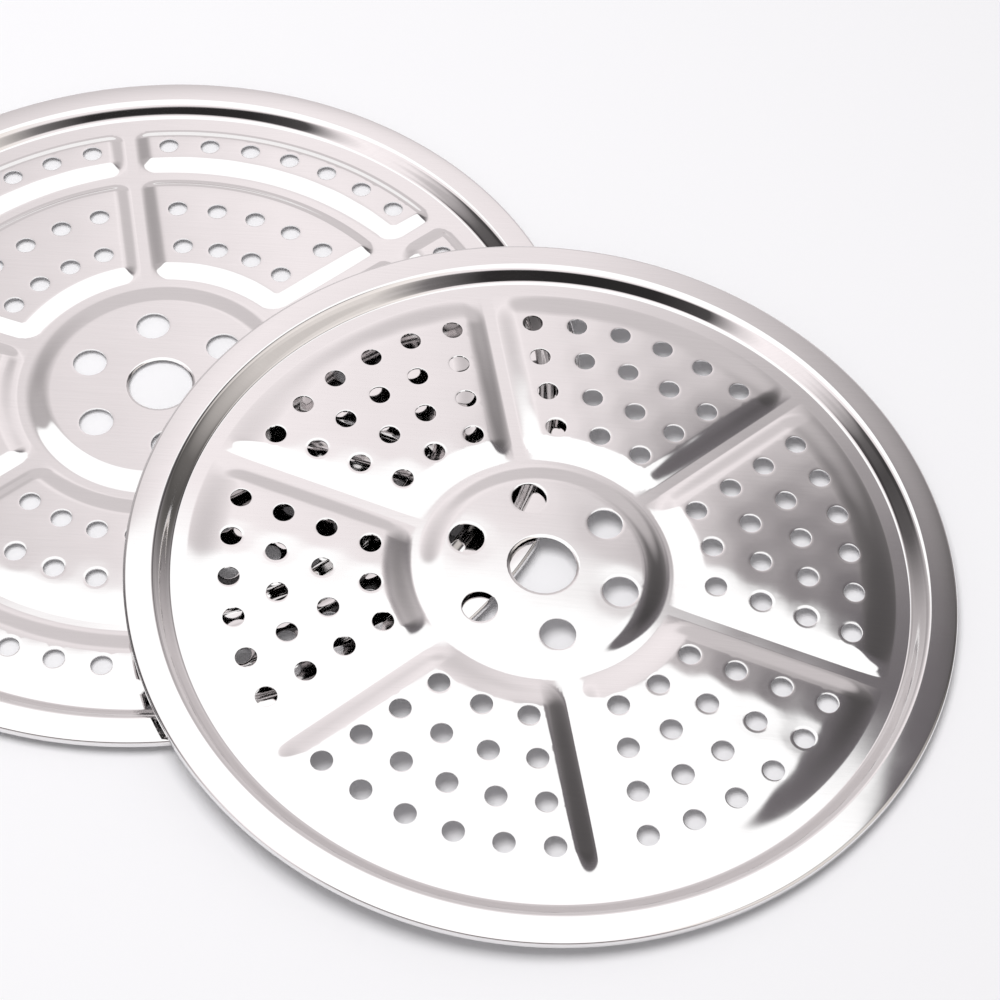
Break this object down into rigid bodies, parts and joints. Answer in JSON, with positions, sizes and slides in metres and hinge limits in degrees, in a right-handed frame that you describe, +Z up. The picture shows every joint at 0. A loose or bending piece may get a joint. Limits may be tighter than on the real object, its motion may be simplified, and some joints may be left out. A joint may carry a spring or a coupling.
{
  "type": "steamer plate set",
  "caption": "Set of round pressed stainless steel steamer plates with perforated panels, raised rims and finger holes, the smaller leaning on the larger one's rim.",
  "frame": {"origin": "on the table, under the middle of the box round both plates", "axes": "+X to the right and +Y away from the picture's viewer along the table, +Z up"},
  "size_m": [0.3702, 0.314, 0.0142],
  "materials": {
    "polished_steel": "mirror-polished stainless steel sheet"
  },
  "bodies": {
    "large_plate": {"large_steamer_plate": "polished_steel"},
    "small_plate": {"small_steamer_plate": "polished_steel"}
  },
  "joints": [
    {"name": "small_plate_lift", "type": "slide", "parent": "large_plate", "child": "small_plate", "axis": [0, 0, 1], "range_m": [0, 0.12]}
  ]
}
